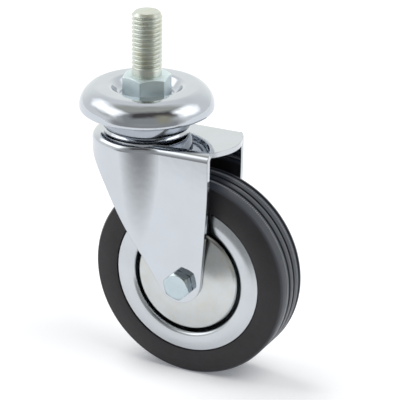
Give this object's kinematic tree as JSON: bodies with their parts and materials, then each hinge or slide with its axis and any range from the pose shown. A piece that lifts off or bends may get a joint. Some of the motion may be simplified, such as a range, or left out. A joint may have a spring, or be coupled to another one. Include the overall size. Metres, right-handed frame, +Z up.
{
  "type": "swivel castor",
  "caption": "Swivel castor with a threaded stem, a hex collar, a round cap over the ball race, a pressed steel fork and a grooved rubber-tyred wheel.",
  "frame": {"origin": "centre of the hex collar's top face, on the swivel axis", "axes": "+Z up along the threaded stem; the wheel trails towards +X; the axle lies along Y with the bolt's head on the -Y side"},
  "size_m": [0.0887, 0.0524, 0.142],
  "materials": {
    "zinc_plated_steel": "zinc plated, slightly yellowish",
    "polished_chrome": "polished chrome plating",
    "bearing_steel": "polished, lightly greased",
    "rim_plate": "bright plating",
    "bush_plastic": "moulded, matt",
    "grey_rubber": "moulded grey rubber, matt"
  },
  "bodies": {
    "stem_head": {"threaded_stem": "zinc_plated_steel", "head_cap": "polished_chrome", "upper_race_cup": "polished_chrome", "retaining_cup": "zinc_plated_steel"},
    "ball_row": {"race_ball_1": "bearing_steel", "race_ball_2": "bearing_steel", "race_ball_3": "bearing_steel", "race_ball_4": "bearing_steel", "race_ball_5": "bearing_steel", "race_ball_6": "bearing_steel", "race_ball_7": "bearing_steel", "race_ball_8": "bearing_steel", "race_ball_9": "bearing_steel"},
    "fork": {"fork": "polished_chrome", "axle_bolt": "zinc_plated_steel", "axle_nut": "zinc_plated_steel", "axle_sleeve": "zinc_plated_steel", "thread_guard_near": "polished_chrome", "thread_guard_far": "polished_chrome"},
    "wheel": {"tyre": "grey_rubber", "rim_half_near": "rim_plate", "rim_half_far": "rim_plate", "hub_tube": "rim_plate", "hub_bush_near": "bush_plastic", "hub_bush_far": "bush_plastic"}
  },
  "joints": [
    {"name": "swivel", "type": "hinge", "parent": "stem_head", "child": "fork", "pos_m": [0, 0, 0], "axis": [0, 0, 1], "continuous": true},
    {"name": "ball_orbit", "type": "hinge", "parent": "stem_head", "child": "ball_row", "pos_m": [0, 0, 0], "axis": [0, 0, 1], "continuous": true},
    {"name": "wheel_spin", "type": "hinge", "parent": "fork", "child": "wheel", "pos_m": [0.0225, 0, -0.077], "axis": [0, 1, 0], "continuous": true}
  ],
  "couplings": [
    {"joint": "ball_orbit", "follows": "swivel", "ratio": 0.5}
  ]
}
